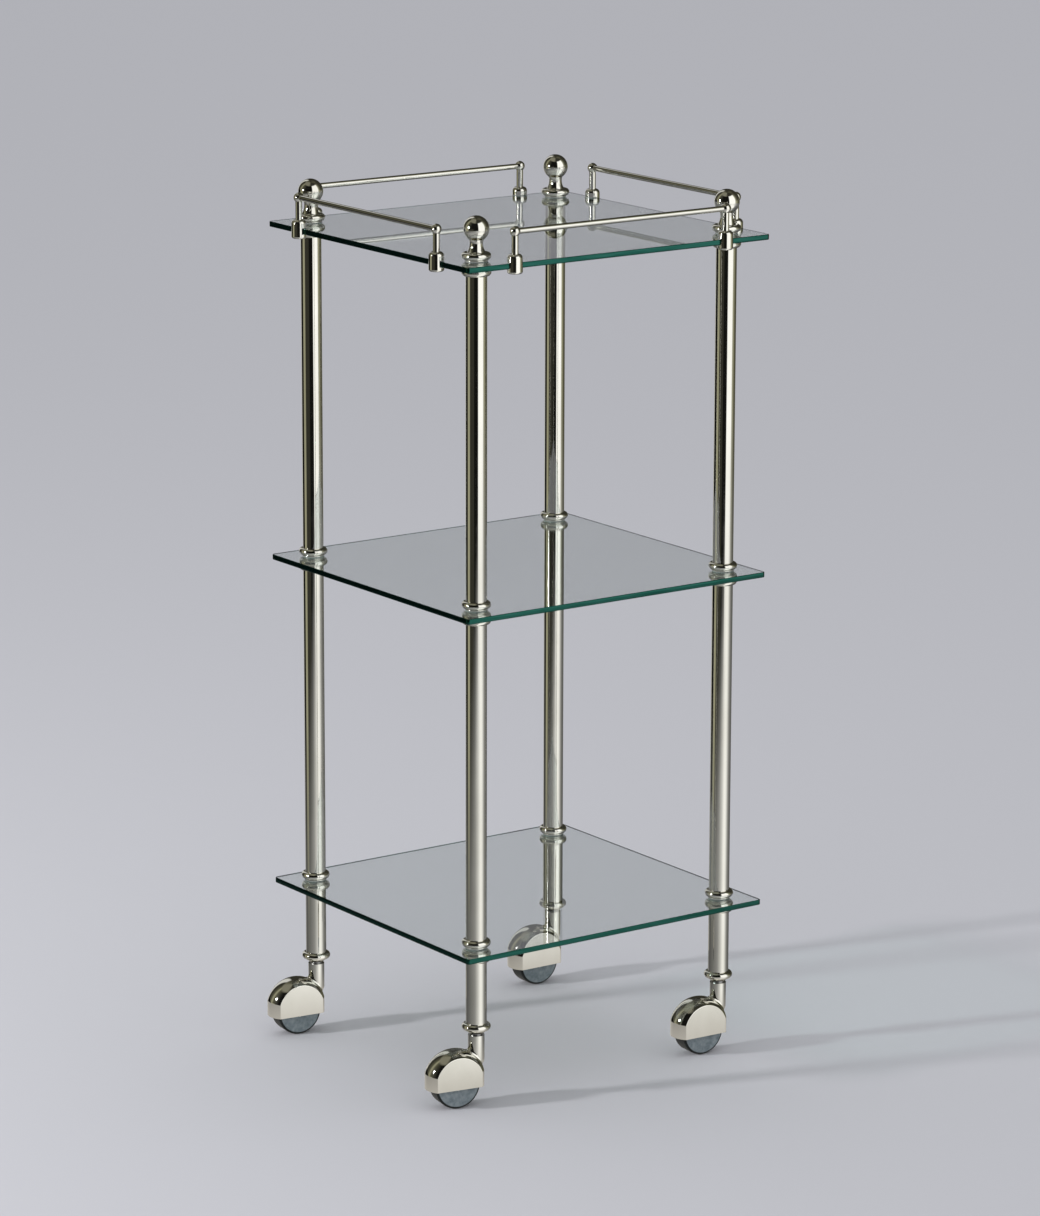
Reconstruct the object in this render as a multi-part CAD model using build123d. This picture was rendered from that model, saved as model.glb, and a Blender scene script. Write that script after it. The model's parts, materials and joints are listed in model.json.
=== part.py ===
from build123d import *
import os
from math import cos, radians, sin, sqrt

# A three-tier glass trolley table: glass shelves clamped between turned collars
# on four tubular posts, a low gallery round the top, and four swivel casters.
# Millimetres, +Z up, the floor at Z = 0, the plan centre at X = Y = 0.

# Plan of the posts and the glass
POST_SPACING_X = 274.0
POST_SPACING_Y = 264.0
GLASS_OVERHANG = 28.0
GLASS_CORNER_RADIUS = 3.0
GLASS_THICKNESS = 5.0
GLASS_ARRIS = 0.4
GLASS_HOLE_DIAMETER = 9.0

# Lengths of the posts: the legs, and the height from one pane to the next
LEG_TUBE_LENGTH = 57.7
SHELF_PITCH = 311.0

# Post tubes and the tie rods that pull each post together
TUBE_DIAMETER = 19.0
TUBE_WALL = 1.2
ROD_DIAMETER = 6.0
ROD_CLEARANCE = 0.2
THREAD_CLEARANCE = 0.03
SPIGOT_LENGTH = 5.0
SPIGOT_CLEARANCE = 0.05

# Collars above and below each pane, with a soft washer against the glass
WASHER_THICKNESS = 0.5
WASHER_SETBACK = 0.3
FOOT_HEIGHT = 0.9
FOOT_STEP = 0.8
BEAD_RADIUS = 3.3
BEAD_STEP = 0.35

# Finials over the top pane
BALL_DIAMETER = 23.0
NECK_LENGTH = 10.9
NECK_DIAMETER = 12.0
NECK_TOP_DIAMETER = 13.0
NECK_WAIST_DOWN = 4.5
NECK_FLARE_SETBACK = 1.55
FINIAL_THREAD_DEPTH = 11.0

# Gallery posts that grip the edge of the top pane, and the rails between them
GALLERY_INSET = 22.0
GALLERY_EDGE_SETBACK = 1.0
GALLERY_HEIGHT = 27.5
BARREL_DIAMETER = 13.8
BARREL_BELOW_GLASS = 4.5
BARREL_ABOVE_GLASS = 4.2
BARREL_ROUND = 1.8
BARREL_DOME = 3.8
GALLERY_ROD_DIAMETER = 6.2
GALLERY_BALL_DIAMETER = 9.5
RAIL_DIAMETER = 5.2
RAIL_SEAT_DEPTH = 3.2
RAIL_CLEARANCE = 0.05
SLOT_CLEARANCE = 0.3
PAD_THICKNESS = 0.5
PAD_SETBACK = 0.25
GRUB_DIAMETER = 2.5
GRUB_RECESS = 0.4
GRUB_SLOT_WIDTH = 0.5
GRUB_SLOT_DEPTH = 0.7

# Ferrules at the foot of each post, with the caster socket inside
FERRULE_TAPER_HEIGHT = 2.2
FERRULE_TIP_WALL = 2.0
FERRULE_THREAD_DEPTH = 10.0
FERRULE_WEB = 3.0
SOCKET_WALL = 1.45
SOCKET_LENGTH = 36.0
SOCKET_CLEARANCE = 0.03

# Caster stems
STEM_DIAMETER = 8.0
STEM_RUNNING_CLEARANCE = 0.05
STEM_COLLAR_STEP = 1.8
STEM_COLLAR_HEIGHT = 2.2
SWIVEL_GAP = 0.2
STEM_SEAT_DEPTH = 17.5
STEM_GROOVE_UP = 26.0
STEM_GROOVE_LENGTH = 3.0
STEM_GROOVE_DEPTH = 0.8
STEM_HEAD_LENGTH = 4.0
STEM_HEAD_CHAMFER = 0.8
SOCKET_LIP_CLEARANCE = 0.3
PRESS_CLEARANCE = 0.02

# Caster hoods, trailing behind the stem
STEM_INSET = 0.65
HOOD_WALL = 2.0
HOOD_CROWN = 5.5
HOOD_WHEEL_GAP = 4.0
HOOD_SIDE_GAP = 2.0
HOOD_ARCH_RISE = 3.15
HOOD_ARCH_OVERSIZE = 1.25
HOOD_SKIRT = 2.9
HOOD_EDGE_ROUND = 0.8
HOOD_CREASE_ROUND = 1.5
HOOD_NECK_DIAMETER = 15.0
HOOD_NECK_LENGTH = 11.0
HOOD_NECK_FOOT_DOWN = 11.5
HOOD_NECK_BLEND = 2.5

# Wheels, their bushes and axles
WHEEL_DIAMETER = 43.5
WHEEL_WIDTH = 18.0
WHEEL_EDGE_ROUND = 2.0
BUSH_DIAMETER = 9.0
BUSH_OVERHANG = 0.2
BUSH_END_GAP = 0.1
AXLE_DIAMETER = 4.0
AXLE_RUNNING_CLEARANCE = 0.05
AXLE_SEAT_DEPTH = 2.9
AXLE_BOSS_DIAMETER = 9.0

# Directions in which the casters trail, in degrees from +X
CASTER_HEADING = {
    "front_left": 170.0,
    "front_right": 177.0,
    "back_left": 173.0,
    "back_right": 179.0,
}

# Values worked out from the sizes above, stacked up from the floor
WHEEL_CENTRE = WHEEL_DIAMETER / 2
HOOD_HALF_LENGTH = WHEEL_DIAMETER / 2 + HOOD_WHEEL_GAP + HOOD_WALL - HOOD_CROWN
CASTER_TRAIL = HOOD_HALF_LENGTH - STEM_INSET
HOOD_INNER_WIDTH = WHEEL_WIDTH + 2 * HOOD_SIDE_GAP
HOOD_WIDTH = HOOD_INNER_WIDTH + 2 * HOOD_WALL
HOOD_RIM = WHEEL_CENTRE - HOOD_SKIRT
HOOD_ARCH_CENTRE = WHEEL_CENTRE + HOOD_ARCH_RISE
HOOD_ARCH_RADIUS = HOOD_HALF_LENGTH + HOOD_ARCH_OVERSIZE
HOOD_TOP = HOOD_ARCH_CENTRE + HOOD_ARCH_RADIUS + HOOD_CROWN
HOOD_NECK_TOP = HOOD_TOP + HOOD_NECK_LENGTH
STEM_COLLAR_TOP = HOOD_NECK_TOP + STEM_COLLAR_HEIGHT
STEM_GROOVE_BOTTOM = STEM_COLLAR_TOP + STEM_GROOVE_UP
STEM_GROOVE_TOP = STEM_GROOVE_BOTTOM + STEM_GROOVE_LENGTH
FERRULE_BOTTOM = STEM_COLLAR_TOP + SWIVEL_GAP
FERRULE_SHOULDER = FERRULE_BOTTOM + FERRULE_TAPER_HEIGHT + 2 * BEAD_RADIUS
FERRULE_TOP = FERRULE_BOTTOM + SOCKET_LENGTH + FERRULE_WEB + FERRULE_THREAD_DEPTH
COLLAR_HEIGHT = FOOT_HEIGHT + 2 * BEAD_RADIUS
COLLAR_STACK = WASHER_THICKNESS + COLLAR_HEIGHT
BOTTOM_GLASS_TOP = FERRULE_SHOULDER + LEG_TUBE_LENGTH + COLLAR_STACK + GLASS_THICKNESS
SHELF_TOPS = {
    "bottom": BOTTOM_GLASS_TOP,
    "middle": BOTTOM_GLASS_TOP + SHELF_PITCH,
    "top": BOTTOM_GLASS_TOP + 2 * SHELF_PITCH,
}
CORNERS = {
    "front_left": (-POST_SPACING_X / 2, -POST_SPACING_Y / 2),
    "front_right": (POST_SPACING_X / 2, -POST_SPACING_Y / 2),
    "back_left": (-POST_SPACING_X / 2, POST_SPACING_Y / 2),
    "back_right": (POST_SPACING_X / 2, POST_SPACING_Y / 2),
}
GLASS_LENGTH_X = POST_SPACING_X + 2 * GLASS_OVERHANG
GLASS_LENGTH_Y = POST_SPACING_Y + 2 * GLASS_OVERHANG
TUBE_RADIUS = TUBE_DIAMETER / 2
TUBE_BORE_RADIUS = TUBE_RADIUS - TUBE_WALL
SPIGOT_RADIUS = TUBE_BORE_RADIUS - SPIGOT_CLEARANCE
FOOT_RADIUS = TUBE_RADIUS + FOOT_STEP
BEAD_CENTRE_RADIUS = TUBE_RADIUS + BEAD_STEP
SOCKET_BORE_RADIUS = STEM_DIAMETER / 2 + STEM_RUNNING_CLEARANCE
SOCKET_RADIUS = SOCKET_BORE_RADIUS + SOCKET_WALL
BUSH_LENGTH = WHEEL_WIDTH + 2 * BUSH_OVERHANG
AXLE_BOSS_FACE = BUSH_LENGTH / 2 + BUSH_END_GAP
AXLE_LENGTH = 2 * (AXLE_BOSS_FACE + AXLE_SEAT_DEPTH)
GRUB_OFFSET = (BARREL_DIAMETER / 2 - GALLERY_EDGE_SETBACK) / 2


def turn(*edges):
    """Solid of revolution about Z from edges drawn in the XZ plane."""
    return revolve(make_face(edges), Axis.Z)


def path(*points):
    """Straight edges through points given as (radius, height)."""
    return Polyline(*[(r, 0, z) for r, z in points])


def arc(start, middle, end):
    """Arc through three points given as (radius, height)."""
    return ThreePointArc(*[(r, 0, z) for r, z in (start, middle, end)])


def bead(bottom):
    """Half-round edge of a bead whose lower end is at the given height."""
    centre = bottom + BEAD_RADIUS
    return arc(
        (BEAD_CENTRE_RADIUS, bottom),
        (BEAD_CENTRE_RADIUS + BEAD_RADIUS, centre),
        (BEAD_CENTRE_RADIUS, bottom + 2 * BEAD_RADIUS),
    )


def cylinder(radius, bottom, top):
    """Cylinder on the Z axis between two heights."""
    return Pos(0, 0, bottom) * Cylinder(radius, top - bottom, align=(Align.CENTER, Align.CENTER, Align.MIN))


def group(solids):
    """Separate solids kept together in one node."""
    return Compound(children=list(solids))


def shelf(glass_top):
    """A pane with rounded corners, an arris all round and a hole at each post."""
    pane = extrude(RectangleRounded(GLASS_LENGTH_X, GLASS_LENGTH_Y, GLASS_CORNER_RADIUS), -GLASS_THICKNESS)
    levels = pane.edges().group_by(Axis.Z)
    pane = chamfer(levels[0] + levels[-1], GLASS_ARRIS)
    for x, y in CORNERS.values():
        pane -= Pos(x, y, 0) * cylinder(GLASS_HOLE_DIAMETER / 2, -GLASS_THICKNESS, 0)
    return Pos(0, 0, glass_top) * pane


def washer():
    """Clear washer that lies on Z = 0."""
    ring = cylinder(FOOT_RADIUS - WASHER_SETBACK, 0, WASHER_THICKNESS)
    return ring - cylinder(GLASS_HOLE_DIAMETER / 2, 0, WASHER_THICKNESS)


def collar():
    """Beaded collar on Z = 0, with a spigot for the tube above it."""
    outline = path((BEAD_CENTRE_RADIUS, FOOT_HEIGHT), (FOOT_RADIUS, FOOT_HEIGHT), (FOOT_RADIUS, 0), (0, 0),
                   (0, COLLAR_HEIGHT + SPIGOT_LENGTH), (SPIGOT_RADIUS, COLLAR_HEIGHT + SPIGOT_LENGTH),
                   (SPIGOT_RADIUS, COLLAR_HEIGHT), (BEAD_CENTRE_RADIUS, COLLAR_HEIGHT))
    body = turn(bead(FOOT_HEIGHT), outline)
    return body - cylinder(ROD_DIAMETER / 2 + ROD_CLEARANCE, 0, COLLAR_HEIGHT + SPIGOT_LENGTH)


def finial():
    """Beaded foot on Z = 0, waisted neck and ball, tapped from below for the tie rod."""
    ball_radius = BALL_DIAMETER / 2
    neck_top_radius = NECK_TOP_DIAMETER / 2
    neck_top = COLLAR_HEIGHT + NECK_LENGTH
    ball_centre = neck_top + sqrt(ball_radius ** 2 - neck_top_radius ** 2)
    flare = (BEAD_CENTRE_RADIUS - NECK_FLARE_SETBACK, COLLAR_HEIGHT)
    waist = (NECK_DIAMETER / 2, neck_top - NECK_WAIST_DOWN)
    shoulder = (neck_top_radius, neck_top)
    crown = (0, ball_centre + ball_radius)
    body = turn(
        path(crown, (0, 0), (FOOT_RADIUS, 0), (FOOT_RADIUS, FOOT_HEIGHT),
             (BEAD_CENTRE_RADIUS, FOOT_HEIGHT)),
        bead(FOOT_HEIGHT),
        path((BEAD_CENTRE_RADIUS, COLLAR_HEIGHT), flare),
        arc(flare, waist, shoulder),
        arc(shoulder, (ball_radius, ball_centre), crown),
    )
    return body - cylinder(ROD_DIAMETER / 2 + THREAD_CLEARANCE, 0, FINIAL_THREAD_DEPTH)


def tube(bottom, top):
    """Length of post tube between two heights."""
    return cylinder(TUBE_RADIUS, bottom, top) - cylinder(TUBE_BORE_RADIUS, bottom, top)


def tie_rod():
    """Rod from the ferrule's thread up through the post into the finial."""
    top = SHELF_TOPS["top"] + WASHER_THICKNESS + FINIAL_THREAD_DEPTH
    return cylinder(ROD_DIAMETER / 2, FERRULE_TOP - FERRULE_THREAD_DEPTH, top)


def ferrule():
    """Beaded plug in the foot of a post, bored for the caster socket."""
    taper_top = FERRULE_BOTTOM + FERRULE_TAPER_HEIGHT
    tip_radius = SOCKET_RADIUS + FERRULE_TIP_WALL
    outline = path((BEAD_CENTRE_RADIUS, taper_top), (tip_radius, FERRULE_BOTTOM),
                   (0, FERRULE_BOTTOM), (0, FERRULE_TOP), (SPIGOT_RADIUS, FERRULE_TOP),
                   (SPIGOT_RADIUS, FERRULE_SHOULDER), (BEAD_CENTRE_RADIUS, FERRULE_SHOULDER))
    body = turn(bead(taper_top), outline)
    body -= cylinder(SOCKET_RADIUS + SOCKET_CLEARANCE, FERRULE_BOTTOM, FERRULE_BOTTOM + SOCKET_LENGTH)
    thread_bottom = FERRULE_TOP - FERRULE_THREAD_DEPTH
    return body - cylinder(ROD_DIAMETER / 2 + THREAD_CLEARANCE, thread_bottom, FERRULE_TOP)


def caster_socket():
    """Sleeve pressed into the ferrule, with a lip that snaps into the stem's groove."""
    lip_bottom = STEM_GROOVE_BOTTOM + SOCKET_LIP_CLEARANCE
    lip_top = STEM_GROOVE_TOP - SOCKET_LIP_CLEARANCE
    lip_radius = STEM_DIAMETER / 2 - STEM_GROOVE_DEPTH + SOCKET_LIP_CLEARANCE
    top = FERRULE_BOTTOM + SOCKET_LENGTH
    body = cylinder(SOCKET_RADIUS, FERRULE_BOTTOM, top)
    body -= cylinder(SOCKET_BORE_RADIUS, FERRULE_BOTTOM, lip_bottom)
    body -= cylinder(lip_radius, lip_bottom, lip_top)
    return body - cylinder(SOCKET_BORE_RADIUS, lip_top, top)


def caster_stem():
    """Pin pressed into the hood's neck, with a thrust collar and a grooved head."""
    radius = STEM_DIAMETER / 2
    body = cylinder(radius, HOOD_NECK_TOP - STEM_SEAT_DEPTH, STEM_GROOVE_BOTTOM)
    body += cylinder(radius + STEM_COLLAR_STEP, HOOD_NECK_TOP, STEM_COLLAR_TOP)
    body += cylinder(radius - STEM_GROOVE_DEPTH, STEM_GROOVE_BOTTOM, STEM_GROOVE_TOP)
    head = cylinder(radius, STEM_GROOVE_TOP, STEM_GROOVE_TOP + STEM_HEAD_LENGTH)
    return body + chamfer(head.edges().group_by(Axis.Z)[-1], STEM_HEAD_CHAMFER)


def crowned_plan(reach, width):
    """Half plan of the hood, with its end bulged by the crown between the two sides."""
    half = width / 2
    bulge = ThreePointArc((reach, -half), (reach + HOOD_CROWN, 0), (reach, half))
    return make_face([bulge, Polyline((reach, half), (0, half), (0, -half), (reach, -half))])


def hood_block(inset, width):
    """Block with upright ends under a low arch, flat at the sides and crowned over the top and ends."""
    disc = revolve(crowned_plan(HOOD_ARCH_RADIUS - inset, width), Axis((0, 0, 0), (0, -1, 0)), 360)
    half_plan = Pos(0, 0, HOOD_RIM - HOOD_ARCH_CENTRE) * crowned_plan(HOOD_HALF_LENGTH - inset, width)
    half_prism = extrude(half_plan, HOOD_TOP - HOOD_RIM)
    prism = half_prism + mirror(half_prism, Plane.YZ)
    return Pos(CASTER_TRAIL, 0, HOOD_ARCH_CENTRE) * (disc & prism)


def across(radius, start, end):
    """Cylinder along the wheel's axle line between two places across the caster."""
    line = Pos(CASTER_TRAIL, 0, WHEEL_CENTRE) * Rot(-90, 0, 0)
    return line * cylinder(radius, start, end)


def hood_neck():
    """Neck round the stem, with a round foot that sinks into the hood's rear."""
    radius = HOOD_NECK_DIAMETER / 2
    foot = HOOD_TOP - HOOD_NECK_FOOT_DOWN
    return Pos(0, 0, foot) * Sphere(radius) + cylinder(radius, foot, HOOD_NECK_TOP)


def above_rim(block):
    """Edges of the hood's block, but for those round its open rim."""
    return [e for e in block.edges() if e.center().Z > HOOD_RIM + HOOD_EDGE_ROUND / 2]


def caster_hood():
    """Polished hood over the wheel, with the stem's neck at its rear end."""
    outer = hood_block(0, HOOD_WIDTH)
    creases = [e for e in above_rim(outer) if abs(e.center().Y) < HOOD_EDGE_ROUND / 2]
    outer = fillet(creases, HOOD_CREASE_ROUND)
    sides = [e for e in above_rim(outer) if abs(abs(e.center().Y) - HOOD_WIDTH / 2) < HOOD_EDGE_ROUND / 2]
    outer = fillet(sides, HOOD_EDGE_ROUND)
    neck = hood_neck()
    joined = outer + neck
    body = fillet(new_edges(outer, neck, combined=joined), HOOD_NECK_BLEND)
    body -= hood_block(HOOD_WALL, HOOD_INNER_WIDTH)
    for side in (1, -1):
        start, end = sorted((side * HOOD_INNER_WIDTH / 2, side * AXLE_BOSS_FACE))
        body += across(AXLE_BOSS_DIAMETER / 2, start, end) & hood_block(0, HOOD_WIDTH)
    body -= across(AXLE_DIAMETER / 2 + PRESS_CLEARANCE, -AXLE_LENGTH / 2, AXLE_LENGTH / 2)
    seat = HOOD_NECK_TOP - STEM_SEAT_DEPTH
    return body - cylinder(STEM_DIAMETER / 2 + PRESS_CLEARANCE, seat, HOOD_NECK_TOP)


def caster_axle():
    """Plain pin held at both ends in the hood's bosses."""
    return across(AXLE_DIAMETER / 2, -AXLE_LENGTH / 2, AXLE_LENGTH / 2)


def wheel_bush():
    """Plain bearing in the wheel, running on the axle."""
    sleeve = across(BUSH_DIAMETER / 2, -BUSH_LENGTH / 2, BUSH_LENGTH / 2)
    return sleeve - across(AXLE_DIAMETER / 2 + AXLE_RUNNING_CLEARANCE, -BUSH_LENGTH / 2, BUSH_LENGTH / 2)


def caster_wheel():
    """Wide wheel with flat sides and a rounded tread."""
    disc = across(WHEEL_DIAMETER / 2, -WHEEL_WIDTH / 2, WHEEL_WIDTH / 2)
    disc = fillet(disc.edges().filter_by(GeomType.CIRCLE), WHEEL_EDGE_ROUND)
    return disc - across(BUSH_DIAMETER / 2 + PRESS_CLEARANCE, -WHEEL_WIDTH / 2, WHEEL_WIDTH / 2)


def jaw_cut(bottom, top):
    """Space on the inner side of a gallery post, from the pane's edge inwards."""
    reach = BARREL_DIAMETER
    box = Box(reach, BARREL_DIAMETER, top - bottom, align=(Align.MIN, Align.CENTER, Align.MIN))
    return Pos(-GALLERY_EDGE_SETBACK, 0, bottom) * box


def gallery_post():
    """Turned post on the edge of the pane: the pane lies towards +X, its top at Z = 0."""
    radius = BARREL_DIAMETER / 2
    rod = GALLERY_ROD_DIAMETER / 2
    ball = GALLERY_BALL_DIAMETER / 2
    bottom = -GLASS_THICKNESS - BARREL_BELOW_GLASS
    dome_top = BARREL_ABOVE_GLASS + BARREL_DOME
    halfway = radians(45)
    dome_middle = (rod + (radius - rod) * cos(halfway), BARREL_ABOVE_GLASS + BARREL_DOME * sin(halfway))
    rod_top = GALLERY_HEIGHT - sqrt(ball ** 2 - rod ** 2)
    crown = (0, GALLERY_HEIGHT + ball)
    flat = radius - BARREL_ROUND
    wall_bottom = bottom + BARREL_ROUND
    low_middle = (flat + BARREL_ROUND * cos(halfway), wall_bottom - BARREL_ROUND * sin(halfway))
    body = turn(
        path(crown, (0, bottom), (flat, bottom)),
        arc((flat, bottom), low_middle, (radius, wall_bottom)),
        path((radius, wall_bottom), (radius, BARREL_ABOVE_GLASS)),
        arc((radius, BARREL_ABOVE_GLASS), dome_middle, (rod, dome_top)),
        path((rod, dome_top), (rod, rod_top)),
        arc((rod, rod_top), (ball, GALLERY_HEIGHT), crown),
    )
    slot = jaw_cut(-GLASS_THICKNESS - PAD_THICKNESS, PAD_THICKNESS)
    body -= Pos(-SLOT_CLEARANCE, 0, 0) * slot
    return body - Pos(GRUB_OFFSET, 0, 0) * cylinder(
        GRUB_DIAMETER / 2 + THREAD_CLEARANCE, bottom, -GLASS_THICKNESS - PAD_THICKNESS)


def clamp_pads():
    """Soft pads above and below the pane inside a gallery post's slot."""
    disc_radius = BARREL_DIAMETER / 2 - PAD_SETBACK
    levels = (0, -GLASS_THICKNESS - PAD_THICKNESS)
    return [cylinder(disc_radius, z, z + PAD_THICKNESS) & jaw_cut(z, z + PAD_THICKNESS) for z in levels]


def grub_screw():
    """Slotted screw through the lower jaw, bearing on the lower pad."""
    bottom = -GLASS_THICKNESS - BARREL_BELOW_GLASS + GRUB_RECESS
    screw = cylinder(GRUB_DIAMETER / 2, bottom, -GLASS_THICKNESS - PAD_THICKNESS)
    slot = Pos(0, 0, bottom) * Box(GRUB_DIAMETER, GRUB_SLOT_WIDTH, 2 * GRUB_SLOT_DEPTH)
    return Pos(GRUB_OFFSET, 0, 0) * (screw - slot)


def gallery_sides():
    """Name, direction out of the pane, half length and distance out of each side."""
    half_x = POST_SPACING_X / 2 - GALLERY_INSET
    half_y = POST_SPACING_Y / 2 - GALLERY_INSET
    out_x = GLASS_LENGTH_X / 2 - GALLERY_EDGE_SETBACK
    out_y = GLASS_LENGTH_Y / 2 - GALLERY_EDGE_SETBACK
    return (("front", -90, half_x, out_y), ("right", 0, half_y, out_x),
            ("back", 90, half_x, out_y), ("left", 180, half_y, out_x))


def gallery_places(turned, half, out):
    """Places of the two posts on one side, each with its pane side facing inwards."""
    side = Pos(0, 0, SHELF_TOPS["top"]) * Rot(0, 0, turned)
    return [side * Pos(out, end * half, 0) * Rot(0, 0, 180) for end in (-1, 1)]


def rail_length(half):
    """Length of a rail whose ends are seated in the balls of its two posts."""
    return 2 * (half - GALLERY_BALL_DIAMETER / 2 + RAIL_SEAT_DEPTH)


def rail_rod(radius, length, turned, out):
    """Horizontal rod along one side at the height of the gallery balls."""
    level = SHELF_TOPS["top"] + GALLERY_HEIGHT
    return Pos(0, 0, level) * Rot(0, 0, turned) * Pos(out, 0, 0) * Rot(90, 0, 0) * Cylinder(radius, length)


def make_nodes():
    """Every piece of the table, by node name."""
    nodes = {}
    for name, glass_top in SHELF_TOPS.items():
        nodes[name + "_shelf"] = shelf(glass_top)

    upside_down = Rot(180, 0, 0)
    washers = []
    for name, glass_top in SHELF_TOPS.items():
        glass_bottom = glass_top - GLASS_THICKNESS
        collars = []
        for x, y in CORNERS.values():
            washers.append(Pos(x, y, glass_top) * washer())
            washers.append(Pos(x, y, glass_bottom) * upside_down * washer())
            collars.append(Pos(x, y, glass_bottom - WASHER_THICKNESS) * upside_down * collar())
            if name != "top":
                collars.append(Pos(x, y, glass_top + WASHER_THICKNESS) * collar())
        nodes[name + "_shelf_collars"] = group(collars)
    nodes["shelf_washers"] = group(washers)

    def under(name):
        return SHELF_TOPS[name] - GLASS_THICKNESS - COLLAR_STACK

    def over(name):
        return SHELF_TOPS[name] + COLLAR_STACK

    posts = {corner: Pos(x, y, 0) for corner, (x, y) in CORNERS.items()}
    for corner, post in posts.items():
        nodes["finial_" + corner] = post * Pos(0, 0, SHELF_TOPS["top"] + WASHER_THICKNESS) * finial()
        nodes["upper_tube_" + corner] = post * tube(over("middle"), under("top"))
        nodes["middle_tube_" + corner] = post * tube(over("bottom"), under("middle"))
        nodes["leg_tube_" + corner] = post * tube(FERRULE_SHOULDER, under("bottom"))
        nodes["ferrule_" + corner] = post * ferrule()
    nodes["tie_rods"] = group(post * tie_rod() for post in posts.values())
    nodes["caster_sockets"] = group(post * caster_socket() for post in posts.values())

    grub_screws = []
    pads = []
    for side, turned, half, out in gallery_sides():
        places = gallery_places(turned, half, out)
        length = rail_length(half)
        seats = rail_rod(RAIL_DIAMETER / 2 + RAIL_CLEARANCE, length, turned, out)
        nodes["gallery_posts_" + side] = group(place * gallery_post() - seats for place in places)
        nodes["gallery_rail_" + side] = rail_rod(RAIL_DIAMETER / 2, length, turned, out)
        grub_screws += [place * grub_screw() for place in places]
        pads += [place * pad for place in places for pad in clamp_pads()]
    nodes["gallery_grub_screws"] = group(grub_screws)
    nodes["gallery_pads"] = group(pads)

    for corner, post in posts.items():
        caster = post * Rot(0, 0, CASTER_HEADING[corner])
        nodes["caster_hood_" + corner] = caster * caster_hood()
        nodes["caster_stem_" + corner] = caster * caster_stem()
        nodes["caster_axle_" + corner] = caster * caster_axle()
        nodes["caster_wheel_" + corner] = caster * caster_wheel()
        nodes["wheel_bush_" + corner] = caster * wheel_bush()
    return nodes


os.makedirs("parts", exist_ok=True)
for node, shape in make_nodes().items():
    export_step(shape, "parts/" + node + ".step")
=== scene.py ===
import json
from math import asin, atan2, cos, degrees, pi, radians, sin, sqrt, tan

import bmesh
import bpy
from mathutils import Matrix, Vector


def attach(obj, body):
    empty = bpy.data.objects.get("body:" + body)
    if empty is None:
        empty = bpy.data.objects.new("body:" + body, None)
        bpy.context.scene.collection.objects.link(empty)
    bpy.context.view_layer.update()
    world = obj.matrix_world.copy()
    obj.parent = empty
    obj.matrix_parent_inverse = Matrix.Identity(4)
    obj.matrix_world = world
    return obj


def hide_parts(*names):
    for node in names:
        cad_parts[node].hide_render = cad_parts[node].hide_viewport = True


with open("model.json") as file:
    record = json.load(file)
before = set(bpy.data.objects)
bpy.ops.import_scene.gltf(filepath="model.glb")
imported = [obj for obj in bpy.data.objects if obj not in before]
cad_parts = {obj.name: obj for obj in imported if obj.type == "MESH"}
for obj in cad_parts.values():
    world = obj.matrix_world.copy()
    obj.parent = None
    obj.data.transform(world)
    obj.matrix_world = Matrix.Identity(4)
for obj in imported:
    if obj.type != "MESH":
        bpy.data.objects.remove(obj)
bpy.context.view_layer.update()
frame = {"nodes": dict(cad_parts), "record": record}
scene = bpy.context.scene
scene.view_settings.view_transform = "Standard"

# Places and slots that the frame gives
CORNERS = ("front_left", "front_right", "back_left", "back_right")
JOINTS = {joint["name"]: joint for joint in frame["record"]["behaviour"]["joints"]}
POSTS = [tuple(JOINTS["caster_swivel_" + corner]["pos_m"][:2]) for corner in CORNERS]
SLOT_OF_NODE = {part["node"]: part["material_slot"] for part in frame["record"]["subparts"]}

# Sizes of the trolley that the dressed pieces share, in metres
SHELF_SPACING = 0.311
BOTTOM_SHELF_TOP = 0.1468
SHELF_TOPS = {
    "top": BOTTOM_SHELF_TOP + 2 * SHELF_SPACING,
    "middle": BOTTOM_SHELF_TOP + SHELF_SPACING,
    "bottom": BOTTOM_SHELF_TOP,
}
GLASS_THICKNESS = 0.005
PANE_HOLE = 0.0045
WASHER_THICKNESS = 0.0005
TREAD_RADIUS = 0.0200
TREAD_EDGE = 0.0006

# Where the photograph was taken from
CAMERA_AZIMUTH = radians(-35.3132)
CAMERA_DISTANCE = 4.5041
CAMERA_SIDESTEP = 0.0031
CAMERA_HEIGHT = 1.4790
CAMERA_PITCH = radians(13.2902)
CAMERA_ROLL = radians(0.1268)
FOCAL_PIXELS = 5026.89
PHOTO_HEIGHT_PIXELS = 1216
SENSOR_MM = 36.0
NEAREST_SEEN = 0.05
FARTHEST_SEEN = 60

TOWARDS_CAMERA = Vector((sin(CAMERA_AZIMUTH), -cos(CAMERA_AZIMUTH), 0))
CAMERA_RIGHT = Vector((cos(CAMERA_AZIMUTH), sin(CAMERA_AZIMUTH), 0))
UP = Vector((0, 0, 1))


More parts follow.
